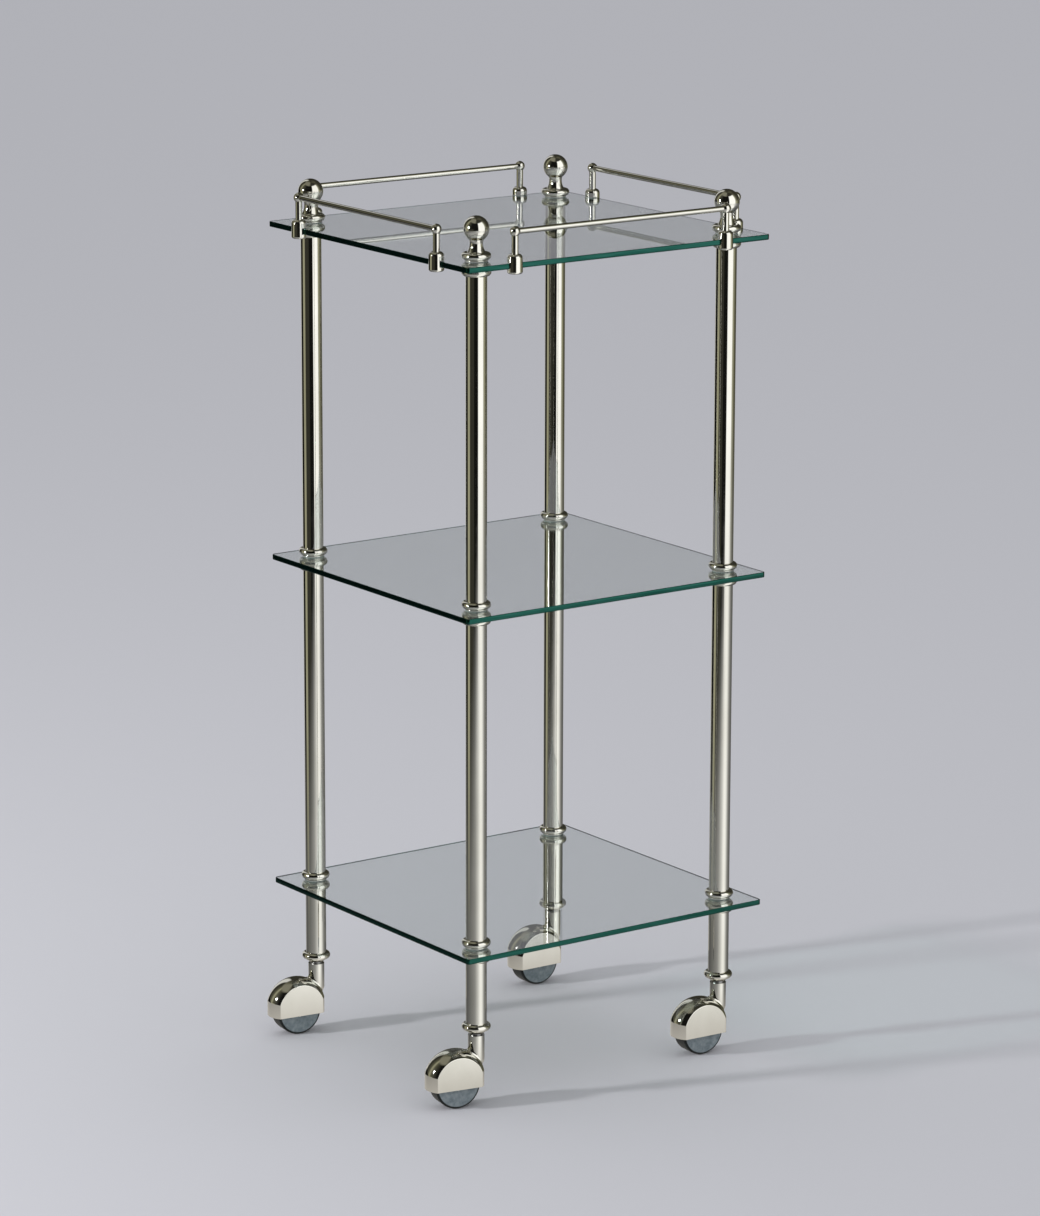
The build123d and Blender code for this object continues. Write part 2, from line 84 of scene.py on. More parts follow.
def set_camera():
    """Camera at the photograph's viewing angle."""
    forward = -TOWARDS_CAMERA * cos(CAMERA_PITCH) - UP * sin(CAMERA_PITCH)
    upright = UP * cos(CAMERA_PITCH) - TOWARDS_CAMERA * sin(CAMERA_PITCH)
    right = CAMERA_RIGHT * cos(CAMERA_ROLL) + upright * sin(CAMERA_ROLL)
    top = upright * cos(CAMERA_ROLL) - CAMERA_RIGHT * sin(CAMERA_ROLL)
    place = TOWARDS_CAMERA * CAMERA_DISTANCE + CAMERA_RIGHT * CAMERA_SIDESTEP + UP * CAMERA_HEIGHT
    data = bpy.data.cameras.new("photo_camera")
    data.sensor_width = SENSOR_MM
    data.lens = FOCAL_PIXELS / PHOTO_HEIGHT_PIXELS * SENSOR_MM
    data.clip_start = NEAREST_SEEN
    data.clip_end = FARTHEST_SEEN
    camera = bpy.data.objects.new("photo_camera", data)
    scene.collection.objects.link(camera)
    turn = Matrix((right, top, -forward)).transposed().to_4x4()
    camera.matrix_world = Matrix.Translation(place) @ turn
    scene.camera = camera


def link(name, mesh):
    """New object at the origin that shows a mesh."""
    piece = bpy.data.objects.new(name, mesh)
    scene.collection.objects.link(piece)
    return piece


# Shader helpers

def new_finish(name):
    """Empty material with its output node."""
    finish = bpy.data.materials.new(name)
    finish.use_nodes = True
    tree = finish.node_tree
    tree.nodes.clear()
    output = tree.nodes.new("ShaderNodeOutputMaterial")
    return finish, tree, output


def principled(tree, **values):
    """Principled shader with constants set on its own sockets."""
    shader = tree.nodes.new("ShaderNodeBsdfPrincipled")
    for label, value in values.items():
        shader.inputs[label.replace("_", " ")].default_value = value
    return shader


def noise(tree, cells, detail, roughness=0.5):
    """Soft noise over the piece, with so many cells to the metre along each axis."""
    place = tree.nodes.new("ShaderNodeTexCoord")
    mapping = tree.nodes.new("ShaderNodeMapping")
    mapping.inputs["Scale"].default_value = cells
    texture = tree.nodes.new("ShaderNodeTexNoise")
    texture.inputs["Scale"].default_value = 1.0
    texture.inputs["Detail"].default_value = detail
    texture.inputs["Roughness"].default_value = roughness
    tree.links.new(place.outputs["Object"], mapping.inputs["Vector"])
    tree.links.new(mapping.outputs["Vector"], texture.inputs["Vector"])
    return texture.outputs["Fac"]


def spread(tree, value, low, high, start=0.3, end=0.7):
    """A value between start and end spread over low to high."""
    node = tree.nodes.new("ShaderNodeMapRange")
    node.inputs["From Min"].default_value = start
    node.inputs["From Max"].default_value = end
    node.inputs["To Min"].default_value = low
    node.inputs["To Max"].default_value = high
    tree.links.new(value, node.inputs["Value"])
    return node.outputs["Result"]


def tones(tree, value, *stops):
    """Colours along a value, as (place, colour) stops."""
    ramp = tree.nodes.new("ShaderNodeValToRGB")
    band = ramp.color_ramp
    while len(band.elements) < len(stops):
        band.elements.new(0.5)
    for element, (place, colour) in zip(band.elements, stops):
        element.position = place
        element.color = (*colour, 1)
    tree.links.new(value, ramp.inputs["Fac"])
    return ramp.outputs["Color"]


def blended(tree, share, first, second):
    """One colour turning into another as the share goes from 0 to 1."""
    mix = tree.nodes.new("ShaderNodeMix")
    mix.data_type = "RGBA"
    start, end = (socket for socket in mix.inputs if socket.type == "RGBA")
    tree.links.new(share, mix.inputs["Factor"])
    tree.links.new(first, start)
    tree.links.new(second, end)
    return next(socket for socket in mix.outputs if socket.type == "RGBA")


def mixed(tree, share, first, second):
    """One shader turning into another as the share goes from 0 to 1."""
    mix = tree.nodes.new("ShaderNodeMixShader")
    tree.links.new(share, mix.inputs["Fac"])
    tree.links.new(first, mix.inputs[1])
    tree.links.new(second, mix.inputs[2])
    return mix.outputs["Shader"]


def bump(tree, height, distance):
    """Small relief from a height in units of distance."""
    node = tree.nodes.new("ShaderNodeBump")
    node.inputs["Distance"].default_value = distance
    tree.links.new(height, node.inputs["Height"])
    return node.outputs["Normal"]


# Patterns of the finishes, in cells to the metre along each axis
LINES_ALONG = (2200, 2200, 12)
LINES_AROUND = (40, 40, 3200)
NICKEL_CLOUDS = (26, 26, 18)
NICKEL_WEAR = (70, 70, 45)
GLASS_WAVES = (9, 9, 9)
EDGE_STREAKS = (40, 40, 900)
WHEEL_MOTTLE = (190, 190, 190)
WHEEL_GRAIN = (1800, 1800, 1800)
STEEL_CLOUDS = (90, 90, 90)
PLASTIC_CLOUDS = (240, 240, 240)

# Heights of the fine relief, in metres
POLISHING_RELIEF = 0.000004
GLASS_RELIEF = 0.00006
WHEEL_RELIEF = 0.00005
LATHE_RELIEF = 0.00001

# Colours of the finishes, each from its darker to its lighter tone
NICKEL_TONES = ((0.73, 0.72, 0.665), (0.80, 0.79, 0.74))
GLASS_SHADOW = (0.84, 0.90, 0.88)
GLASS_BODY = (0.42, 0.84, 0.76)
GLASS_DENSITY = 16.0
EDGE_TONES = ((0.010, 0.072, 0.055), (0.021, 0.105, 0.085))
WHEEL_SIDE_TONES = ((0.17, 0.21, 0.23), (0.31, 0.355, 0.375))
# The tread's near-black is partly a darker rubber and partly painted shade, as under the hood.
WHEEL_TREAD_AND_SHADE_TONES = ((0.008, 0.010, 0.010), (0.020, 0.024, 0.024))
ROD_TONES = ((0.42, 0.43, 0.44), (0.60, 0.61, 0.62))
CASTER_TONES = ((0.20, 0.20, 0.205), (0.32, 0.32, 0.325))
SCREW_TONES = ((0.30, 0.30, 0.30), (0.45, 0.45, 0.45))
WASHER_TONES = ((0.80, 0.82, 0.80), (0.88, 0.89, 0.87))
BUSH_TONES = ((0.70, 0.68, 0.62), (0.78, 0.76, 0.70))


# Finishes of the trolley

def plated_nickel(name, lines):
    """Polished nickel plate, with faint polishing lines and slight clouding."""
    finish, tree, output = new_finish(name)
    shader = principled(tree, Metallic=1.0)
    clouding = noise(tree, NICKEL_CLOUDS, detail=4.0)
    dark, light = NICKEL_TONES
    tree.links.new(tones(tree, clouding, (0.30, dark), (0.62, light)), shader.inputs["Base Color"])
    wear = noise(tree, NICKEL_WEAR, detail=3.0)
    tree.links.new(spread(tree, wear, low=0.028, high=0.075), shader.inputs["Roughness"])
    polishing = noise(tree, lines, detail=2.0)
    tree.links.new(bump(tree, polishing, POLISHING_RELIEF), shader.inputs["Normal"])
    tree.links.new(shader.outputs["BSDF"], output.inputs["Surface"])
    return finish


def float_glass(name):
    """Clear float glass with a green body, which lets the lamps through."""
    finish, tree, output = new_finish(name)
    shader = principled(tree, Base_Color=(1, 1, 1, 1), IOR=1.52, Transmission_Weight=1.0, Roughness=0.0)
    waves = noise(tree, GLASS_WAVES, detail=2.0)
    tree.links.new(bump(tree, waves, GLASS_RELIEF), shader.inputs["Normal"])
    through = tree.nodes.new("ShaderNodeBsdfTransparent")
    through.inputs["Color"].default_value = (*GLASS_SHADOW, 1)
    path = tree.nodes.new("ShaderNodeLightPath")
    surface = mixed(tree, path.outputs["Is Shadow Ray"], shader.outputs["BSDF"], through.outputs["BSDF"])
    tree.links.new(surface, output.inputs["Surface"])
    body = tree.nodes.new("ShaderNodeVolumeAbsorption")
    body.inputs["Color"].default_value = (*GLASS_BODY, 1)
    body.inputs["Density"].default_value = GLASS_DENSITY
    tree.links.new(body.outputs["Volume"], output.inputs["Volume"])
    return finish


def polished_edge(name):
    """Deep green of a pane seen through its polished edge."""
    finish, tree, output = new_finish(name)
    shader = principled(tree, Metallic=0.97, Roughness=0.06)
    streaks = noise(tree, EDGE_STREAKS, detail=2.0)
    dark, light = EDGE_TONES
    tree.links.new(tones(tree, streaks, (0.32, dark), (0.66, light)), shader.inputs["Base Color"])
    tree.links.new(shader.outputs["BSDF"], output.inputs["Surface"])
    return finish


def moulded_wheel(name, centre, heading):
    """Mottled grey-blue wheel with a darker tread, partly darker rubber and partly painted shade, drawn round
    the wheel's own axle.
    """
    finish, tree, output = new_finish(name)
    shader = principled(tree, IOR=1.5, Specular_IOR_Level=0.12)
    place = tree.nodes.new("ShaderNodeTexCoord")
    on_axle = tree.nodes.new("ShaderNodeMapping")
    on_axle.vector_type = "TEXTURE"
    on_axle.inputs["Location"].default_value = centre
    on_axle.inputs["Rotation"].default_value = (0, 0, heading)
    across_axle = tree.nodes.new("ShaderNodeVectorMath")
    across_axle.operation = "MULTIPLY"
    across_axle.inputs[1].default_value = (1, 0, 1)
    radius = tree.nodes.new("ShaderNodeVectorMath")
    radius.operation = "LENGTH"
    tree.links.new(place.outputs["Object"], on_axle.inputs["Vector"])
    tree.links.new(on_axle.outputs["Vector"], across_axle.inputs[0])
    tree.links.new(across_axle.outputs["Vector"], radius.inputs[0])
    # Share of the tread, where the colour turns to darker rubber and painted shade.
    tread_and_shade_share = spread(tree, radius.outputs["Value"], 0.0, 1.0, TREAD_RADIUS - TREAD_EDGE, TREAD_RADIUS)
    mottle = noise(tree, WHEEL_MOTTLE, detail=5.0, roughness=0.62)
    side_colour, tread_and_shade_colour = (tones(tree, mottle, (0.34, dark), (0.66, light))
                                 for dark, light in (WHEEL_SIDE_TONES, WHEEL_TREAD_AND_SHADE_TONES))
    tree.links.new(blended(tree, tread_and_shade_share, side_colour, tread_and_shade_colour), shader.inputs["Base Color"])
    tree.links.new(spread(tree, mottle, low=0.36, high=0.56), shader.inputs["Roughness"])
    grain = noise(tree, WHEEL_GRAIN, detail=2.0)
    tree.links.new(bump(tree, grain, WHEEL_RELIEF), shader.inputs["Normal"])
    tree.links.new(shader.outputs["BSDF"], output.inputs["Surface"])
    return finish


def turned_steel(name, dark, light):
    """Turned steel with lathe lines."""
    finish, tree, output = new_finish(name)
    shader = principled(tree, Metallic=1.0)
    clouds = noise(tree, STEEL_CLOUDS, detail=3.0)
    tree.links.new(tones(tree, clouds, (0.3, dark), (0.7, light)), shader.inputs["Base Color"])
    tree.links.new(spread(tree, clouds, low=0.22, high=0.36), shader.inputs["Roughness"])
    lathe_lines = noise(tree, LINES_AROUND, detail=2.0)
    tree.links.new(bump(tree, lathe_lines, LATHE_RELIEF), shader.inputs["Normal"])
    tree.links.new(shader.outputs["BSDF"], output.inputs["Surface"])
    return finish


def soft_plastic(name, dark, light, clear):
    """Moulded plastic, partly clear for the washers and pads."""
    finish, tree, output = new_finish(name)
    shader = principled(tree, IOR=1.46, Transmission_Weight=clear)
    clouds = noise(tree, PLASTIC_CLOUDS, detail=3.0)
    tree.links.new(tones(tree, clouds, (0.3, dark), (0.7, light)), shader.inputs["Base Color"])
    tree.links.new(spread(tree, clouds, low=0.28, high=0.42), shader.inputs["Roughness"])
    tree.links.new(shader.outputs["BSDF"], output.inputs["Surface"])
    return finish


tube_nickel = plated_nickel("tube_nickel", LINES_ALONG)
turned_nickel = plated_nickel("turned_nickel", LINES_AROUND)
shelf_glass = float_glass("shelf_glass")
edge_glass = polished_edge("edge_glass")
rod_steel = turned_steel("rod_steel", *ROD_TONES)
caster_steel = turned_steel("caster_steel", *CASTER_TONES)
screw_steel = turned_steel("screw_steel", *SCREW_TONES)
washer_plastic = soft_plastic("washer_plastic", *WASHER_TONES, clear=0.7)
bush_nylon = soft_plastic("bush_nylon", *BUSH_TONES, clear=0.0)

FINISH_BY_SLOT = {
    "polished_nickel": turned_nickel,
    "clear_glass": shelf_glass,
    "threaded_steel": rod_steel,
    "socket_steel": caster_steel,
    "screw_steel": screw_steel,
    "clear_plastic": washer_plastic,
    "bush_nylon": bush_nylon,
}


def wheel_finishes():
    """One finish for each wheel, centred on its axle."""
    finishes = {}
    for corner in CORNERS:
        axle = JOINTS["wheel_spin_" + corner]
        heading = atan2(-axle["axis"][0], axle["axis"][1])
        finishes["caster_wheel_" + corner] = moulded_wheel("wheel_rubber_" + corner, axle["pos_m"], heading)
    return finishes


def dress_cad_nodes():
    """Every CAD node takes the finish of its slot; tubes and wheels have their own."""
    own_finish = wheel_finishes()
    for node, piece in frame["nodes"].items():
        if "_tube_" in node:
            own_finish[node] = tube_nickel
        finish = own_finish.get(node) or FINISH_BY_SLOT[SLOT_OF_NODE[node]]
        for place in piece.material_slots:
            place.material = finish


# Stage: floor, lamp, and the studio that the polished metal mirrors
FLOOR_COLOUR = (0.60, 0.60, 0.64)
FLOOR_RADIUS = 14.0
FLOOR_SIDES = 96
SKY_COLOUR = (0.98, 0.99, 1.0)
SKY_LEVEL = 0.74
KEY_POWER = 62.0
KEY_DIAMETER = 0.28
KEY_BEARING = radians(-70)
KEY_DISTANCE = 3.2
KEY_HEIGHT = 1.35
KEY_AIM_HEIGHT = 0.35
STUDIO_LEVEL = 1.25
NEAR_FLOOR = (0.60, 0.57, 0.53)
NEAR_FLOOR_REACH = (0.02, 0.20)

# Colours round the studio, by degrees from the camera's direction to its right
DARK = (0.006, 0.006, 0.005)
DUSK = (0.030, 0.029, 0.022)
KHAKI = (0.29, 0.28, 0.19)
SAND = (0.32, 0.32, 0.24)
OLIVE = (0.078, 0.075, 0.050)
UMBER = (0.19, 0.182, 0.138)
WINDOW = (1.0, 0.995, 0.97)
SHADE = (0.56, 0.555, 0.53)
LOW_WALLS = (
    (-180, OLIVE), (-168, OLIVE), (-164, SHADE), (-148, SHADE), (-144, DARK), (-104, DARK),
    (-100, KHAKI), (-75, KHAKI), (-69, DUSK), (-26, DUSK), (-20, DARK), (17, DARK),
    (23, WINDOW), (77, WINDOW), (82, SAND), (98, KHAKI), (114, OLIVE), (180, OLIVE),
)
HIGH_WALLS = (
    (-180, DUSK), (-168, DUSK), (-164, SHADE), (-148, SHADE), (-144, DUSK), (-132, DUSK),
    (-112, OLIVE), (-98, KHAKI), (-84, OLIVE), (-60, DUSK), (-42, DARK), (17, DARK),
    (22, WINDOW), (77, WINDOW), (83, SAND), (100, OLIVE), (124, DUSK), (180, DUSK),
)
CEILING = (
    (-180, DUSK), (-150, OLIVE), (-112, UMBER), (-24, UMBER),
    (8, DUSK), (90, DUSK), (130, OLIVE), (180, DUSK),
)

# Light on the studio's floor, far out and straight below, by the same degrees
FLOOR_LIGHT = (
    (-180, 0.07), (-168, 0.20), (-156, 0.42), (-144, 0.20), (-118, 0.08), (-70, 0.14),
    (-33, 0.20), (-11, 0.26), (0, 0.36), (22, 0.56), (33, 0.75), (45, 0.87),
    (57, 0.88), (70, 0.74), (84, 0.42), (99, 0.22), (118, 0.13), (180, 0.07),
)
UNDER_LIGHT = (
    (-180, 0.05), (-120, 0.10), (-70, 0.26), (-5, 0.32), (14, 0.34),
    (23, 0.96), (72, 0.96), (84, 0.26), (108, 0.10), (180, 0.05),
)
FLOOR_WARMTH = (1.0, 0.995, 0.965)

# Heights at which one band of the studio fades into the next, as shares of the direction
UNDER_EDGE = (-0.50, -0.42)
FLOOR_EDGE = (-0.26, -0.22)
FLOOR_TILT = -0.035
HIGH_EDGE = (0.05, 0.09)
CEILING_EDGE = (0.76, 0.84)


def set_floor():
    """Large pale floor; metal close above it mirrors it, and metal further up mirrors the studio."""
    mesh = bpy.data.meshes.new("floor")
    angles = [2 * pi * i / FLOOR_SIDES for i in range(FLOOR_SIDES)]
    rim = [(FLOOR_RADIUS * cos(a), FLOOR_RADIUS * sin(a), 0) for a in angles]
    mesh.from_pydata(rim, [], [list(range(FLOOR_SIDES))])
    floor = link("floor", mesh)
    paint, tree, output = new_finish("floor_paint")
    shader = tree.nodes.new("ShaderNodeBsdfDiffuse")
    shader.inputs["Color"].default_value = (*FLOOR_COLOUR, 1)
    path = tree.nodes.new("ShaderNodeLightPath")
    near = tree.nodes.new("ShaderNodeEmission")
    near.inputs["Color"].default_value = (*NEAR_FLOOR, 1)
    far = tree.nodes.new("ShaderNodeBsdfTransparent")
    distance = spread(tree, path.outputs["Ray Length"], 0.0, 1.0, *NEAR_FLOOR_REACH)
    in_metal = mixed(tree, distance, near.outputs["Emission"], far.outputs["BSDF"])
    surface = mixed(tree, path.outputs["Glossy Depth"], shader.outputs["BSDF"], in_metal)
    tree.links.new(surface, output.inputs["Surface"])
    paint.cycles.emission_sampling = "NONE"
    mesh.materials.append(paint)


def warmed(stops):
    """Light levels as slightly warm colours."""
    return [(angle, tuple(level * c for c in FLOOR_WARMTH)) for angle, level in stops]


def studio_colour(tree):
    """Walls, window, ceiling and floor by direction."""
    direction = tree.nodes.new("ShaderNodeTexCoord")
    turned = tree.nodes.new("ShaderNodeMapping")
    turned.inputs["Rotation"].default_value = (0, 0, pi / 2 - CAMERA_AZIMUTH)
    tree.links.new(direction.outputs["Generated"], turned.inputs["Vector"])
    around = tree.nodes.new("ShaderNodeTexGradient")
    around.gradient_type = "RADIAL"
    tree.links.new(turned.outputs["Vector"], around.inputs["Vector"])
    parts = tree.nodes.new("ShaderNodeSeparateXYZ")
    tree.links.new(turned.outputs["Vector"], parts.inputs["Vector"])
    height = parts.outputs["Z"]
    tilted = tree.nodes.new("ShaderNodeMath")
    tilted.operation = "MULTIPLY_ADD"
    tilted.inputs[1].default_value = FLOOR_TILT
    tree.links.new(parts.outputs["Y"], tilted.inputs[0])
    tree.links.new(height, tilted.inputs[2])

    def ring(stops):
        """Colours right round the studio."""
        return tones(tree, around.outputs["Fac"], *[((angle + 180) / 360, colour) for angle, colour in stops])

    def stacked(level, edge, below, above):
        """One band of colours fading into the next above it."""
        return blended(tree, spread(tree, level, 0.0, 1.0, *edge), below, above)

    ground = stacked(height, UNDER_EDGE, ring(warmed(UNDER_LIGHT)), ring(warmed(FLOOR_LIGHT)))
    lower = stacked(tilted.outputs["Value"], FLOOR_EDGE, ground, ring(LOW_WALLS))
    upper = stacked(height, HIGH_EDGE, lower, ring(HIGH_WALLS))
    return stacked(height, CEILING_EDGE, upper, ring(CEILING))


def set_studio():
    """Even pale light; the lit floor's colour where it is seen; the studio where metal mirrors it."""
    world = bpy.data.worlds.new("studio")
    scene.world = world
    world.use_nodes = True
    tree = world.node_tree
    tree.nodes.clear()
    output = tree.nodes.new("ShaderNodeOutputWorld")
    path = tree.nodes.new("ShaderNodeLightPath").outputs

    def background(colour, level):
        """Plain background of one colour."""
        node = tree.nodes.new("ShaderNodeBackground")
        node.inputs["Color"].default_value = (*colour, 1)
        node.inputs["Strength"].default_value = level
        return node

    def worked_out(operation, first, second):
        """One number from two."""
        maths = tree.nodes.new("ShaderNodeMath")
        maths.operation = operation
        tree.links.new(first, maths.inputs[0])
        tree.links.new(second, maths.inputs[1])
        return maths.outputs["Value"]

    lit_floor = [paint * light for paint, light in zip(FLOOR_COLOUR, SKY_COLOUR)]
    light = background(SKY_COLOUR, SKY_LEVEL)
    floor = background(lit_floor, SKY_LEVEL)
    studio = background(DARK, STUDIO_LEVEL)
    tree.links.new(studio_colour(tree), studio.inputs["Color"])
    glossy, singular, through = (path[f"Is {kind} Ray"] for kind in ("Glossy", "Singular", "Transmission"))
    seen = worked_out("MAXIMUM", path["Is Camera Ray"], worked_out("MAXIMUM", through, singular))
    through_after_metal = worked_out("MINIMUM", through, path["Glossy Depth"])
    mirrored = worked_out("MAXIMUM", worked_out("SUBTRACT", glossy, singular), through_after_metal)
    plain = mixed(tree, seen, light.outputs["Background"], floor.outputs["Background"])
    surface = mixed(tree, mirrored, plain, studio.outputs["Background"])
    tree.links.new(surface, output.inputs["Surface"])


def set_key_lamp():
    """Soft lamp low on the camera's left, which throws the shadows to the right."""
    data = bpy.data.lights.new("key_lamp", "AREA")
    data.shape = "DISK"
    data.size = KEY_DIAMETER
    data.energy = KEY_POWER
    lamp = bpy.data.objects.new("key_lamp", data)
    scene.collection.objects.link(lamp)
    outward = TOWARDS_CAMERA * cos(KEY_BEARING) + CAMERA_RIGHT * sin(KEY_BEARING)
    place = outward * KEY_DISTANCE + UP * KEY_HEIGHT
    aim = UP * KEY_AIM_HEIGHT - place
    lamp.matrix_world = Matrix.Translation(place) @ aim.to_track_quat("-Z", "Y").to_matrix().to_4x4()


# Geometry Nodes that the turned pieces and the panes share
WELD_DISTANCE = 0.000002
CREASE_ANGLE = radians(38)


def new_sockets(tree, **sockets):
    """Inputs of a node group, by name with underscores for spaces."""
    tree.interface.new_socket("Geometry", in_out="INPUT", socket_type="NodeSocketGeometry")
    for name, kind in sockets.items():
        tree.interface.new_socket(name.replace("_", " "), in_out="INPUT", socket_type="NodeSocket" + kind)
    tree.interface.new_socket("Geometry", in_out="OUTPUT", socket_type="NodeSocketGeometry")


def drawn_line(tree, piece):
    """Line that an outline's object holds."""
    outline = tree.nodes.new("GeometryNodeObjectInfo")
    line = tree.nodes.new("GeometryNodeMeshToCurve")
    tree.links.new(piece, outline.inputs["Object"])
    tree.links.new(outline.outputs["Geometry"], line.inputs["Mesh"])
    return line.outputs["Curve"]


def swept(tree, path, section):
    """Section swept upright along a path."""
    upright = tree.nodes.new("GeometryNodeSetCurveNormal")
    upright.mode = "Z_UP"
    sweep = tree.nodes.new("GeometryNodeCurveToMesh")
    tree.links.new(path, upright.inputs["Curve"])
    tree.links.new(upright.outputs["Curve"], sweep.inputs["Curve"])
    tree.links.new(section, sweep.inputs["Profile Curve"])
    return sweep.outputs["Mesh"]


def welded(tree, mesh):
    """Mesh with its doubled points merged."""
    weld = tree.nodes.new("GeometryNodeMergeByDistance")
    weld.inputs["Distance"].default_value = WELD_DISTANCE
    tree.links.new(mesh, weld.inputs["Geometry"])
    return weld.outputs["Geometry"]


def copied(tree, points, piece, rotation=None):
    """Real copy of a piece on every point."""
    copies = tree.nodes.new("GeometryNodeInstanceOnPoints")
    real = tree.nodes.new("GeometryNodeRealizeInstances")
    tree.links.new(points, copies.inputs["Points"])
    tree.links.new(piece, copies.inputs["Instance"])
    if rotation:
        tree.links.new(rotation, copies.inputs["Rotation"])
    tree.links.new(copies.outputs["Instances"], real.inputs["Geometry"])
    return real.outputs["Geometry"]


def painted(tree, mesh, finish, smooth):
    """Mesh with its finish, shaded smooth or flat."""
    shade = tree.nodes.new("GeometryNodeSetShadeSmooth")
    shade.inputs["Shade Smooth"].default_value = smooth
    paint = tree.nodes.new("GeometryNodeSetMaterial")
    tree.links.new(mesh, shade.inputs["Geometry"])
    tree.links.new(shade.outputs["Geometry"], paint.inputs["Geometry"])
    tree.links.new(finish, paint.inputs["Material"])
    return paint.outputs["Geometry"]


def baked(host):
    """Plain mesh of a piece with its modifiers applied, normals outward, creases kept sharp."""
    depsgraph = bpy.context.evaluated_depsgraph_get()
    mesh = bpy.data.meshes.new_from_object(host.evaluated_get(depsgraph))
    work = bmesh.new()
    work.from_mesh(mesh)
    bmesh.ops.recalc_face_normals(work, faces=work.faces)
    work.to_mesh(mesh)
    work.free()
    mesh.set_sharp_from_angle(angle=CREASE_ANGLE)
    return mesh


def grown(name, points, tree, **values):
    """Piece that a node group grows from a mesh of points, its inputs given by name."""
    host = link(name + "_host", points)
    modifier = host.modifiers.new("grown", "NODES")
    modifier.node_group = tree
    for item in tree.interface.items_tree:
        key = item.name.replace(" ", "_")
        if item.in_out == "INPUT" and key in values:
            modifier[item.identifier] = values[key]
    mesh = baked(host)
    mesh.name = name
    host.modifiers.clear()
    bpy.data.objects.remove(host)
    return link(name, mesh)


# Turned pieces, swept round the post's axis by Geometry Nodes
HUB_RADIUS = 0.001
SEGMENTS = 72
FINIAL_SEGMENTS = 96
WASHER_SEGMENTS = 40


def turning_tree():
    """Sweeps an outline round an axis and sets a copy on every point."""
    tree = bpy.data.node_groups.new("turned_pieces_on_posts", "GeometryNodeTree")
    new_sockets(tree, Outline="Object", Hub_Radius="Float", Segments="Int", Finish="Material")
    node = tree.nodes.new
    wire = tree.links.new
    given = node("NodeGroupInput").outputs
    result = node("NodeGroupOutput")
    circle = node("GeometryNodeCurvePrimitiveCircle")
    wire(given["Segments"], circle.inputs["Resolution"])
    wire(given["Hub Radius"], circle.inputs["Radius"])
    turned = welded(tree, swept(tree, circle.outputs["Curve"], drawn_line(tree, given["Outline"])))
    turn = node("GeometryNodeInputNamedAttribute")
    turn.data_type = "FLOAT_VECTOR"
    turn.inputs["Name"].default_value = "turn"
    rotation = node("FunctionNodeEulerToRotation")
    wire(turn.outputs["Attribute"], rotation.inputs["Euler"])
    copies = copied(tree, given["Geometry"], turned, rotation.outputs["Rotation"])
    wire(painted(tree, copies, given["Finish"], True), result.inputs["Geometry"])
    return tree


TURNING = turning_tree()


def turned_set(name, outline, closed, places, finish, segments=SEGMENTS):
    """A turned piece, as (radius, height) points, on every (x, y, z, upside down) place."""
    points = [(r - HUB_RADIUS, -z, 0) for r, z in outline]
    edges = [(i, i + 1) for i in range(len(points) - 1)]
    if closed:
        edges.append((len(points) - 1, 0))
    outline_mesh = bpy.data.meshes.new(name + "_outline")
    outline_mesh.from_pydata(points, edges, [])
    outline_piece = link(name + "_outline", outline_mesh)
    posts = bpy.data.meshes.new(name + "_places")
    posts.from_pydata([place[:3] for place in places], [], [])
    turns = posts.attributes.new("turn", "FLOAT_VECTOR", "POINT")
    for value, place in zip(turns.data, places):
        value.vector = (pi if place[3] else 0, 0, 0)
    piece = grown(name, posts, TURNING, Outline=outline_piece, Hub_Radius=HUB_RADIUS,
                  Segments=segments, Finish=finish)
    bpy.data.objects.remove(outline_piece)
    return piece


def corner_round(before, corner, after, radius, steps=4):
    """Points of a small round at a corner of an outline."""
    b, c, a = (Vector(p) for p in (before, corner, after))
    u, v = (b - c).normalized(), (a - c).normalized()
    half = u.angle(v) / 2
    reach = radius / tan(half)
    centre = c + (u + v).normalized() * (radius / sin(half))
    start = (c + u * reach - centre).normalized()
    end = (c + v * reach - centre).normalized()
    spokes = [start.slerp(end, i / steps) for i in range(steps + 1)]
    return [tuple(centre + spoke * radius) for spoke in spokes]


def eased(points, closed):
    """Outline whose corners are rounded by the radius given as each point's third value."""
    result = []
    count = len(points)
    for i, (r, z, radius) in enumerate(points):
        if radius == 0 or (not closed and i in (0, count - 1)):
            result.append((r, z))
            continue
        before = points[i - 1][:2]
        after = points[(i + 1) % count][:2]
        result += corner_round(before, (r, z), after, radius)
    return result


def arc_points(centre, radius, start, end, steps):
    """Points of an arc in an outline, angles in degrees from the outward direction."""
    angles = [radians(start + (end - start) * i / steps) for i in range(steps + 1)]
    return [(centre[0] + radius * cos(a), centre[1] + radius * sin(a), 0) for a in angles]


def through_arc(first, middle, last, steps):
    """Points of the arc through three points of an outline."""
    (ax, ay), (bx, by), (cx, cy) = first, middle, last
    d = 2 * (ax * (by - cy) + bx * (cy - ay) + cx * (ay - by))
    a2, b2, c2 = ax * ax + ay * ay, bx * bx + by * by, cx * cx + cy * cy
    centre = ((a2 * (by - cy) + b2 * (cy - ay) + c2 * (ay - by)) / d,
              (a2 * (cx - bx) + b2 * (ax - cx) + c2 * (bx - ax)) / d)
    angles = [degrees(atan2(y - centre[1], x - centre[0])) % 360 for x, y in (first, last)]
    return arc_points(centre, sqrt((ax - centre[0]) ** 2 + (ay - centre[1]) ** 2), *angles, steps)


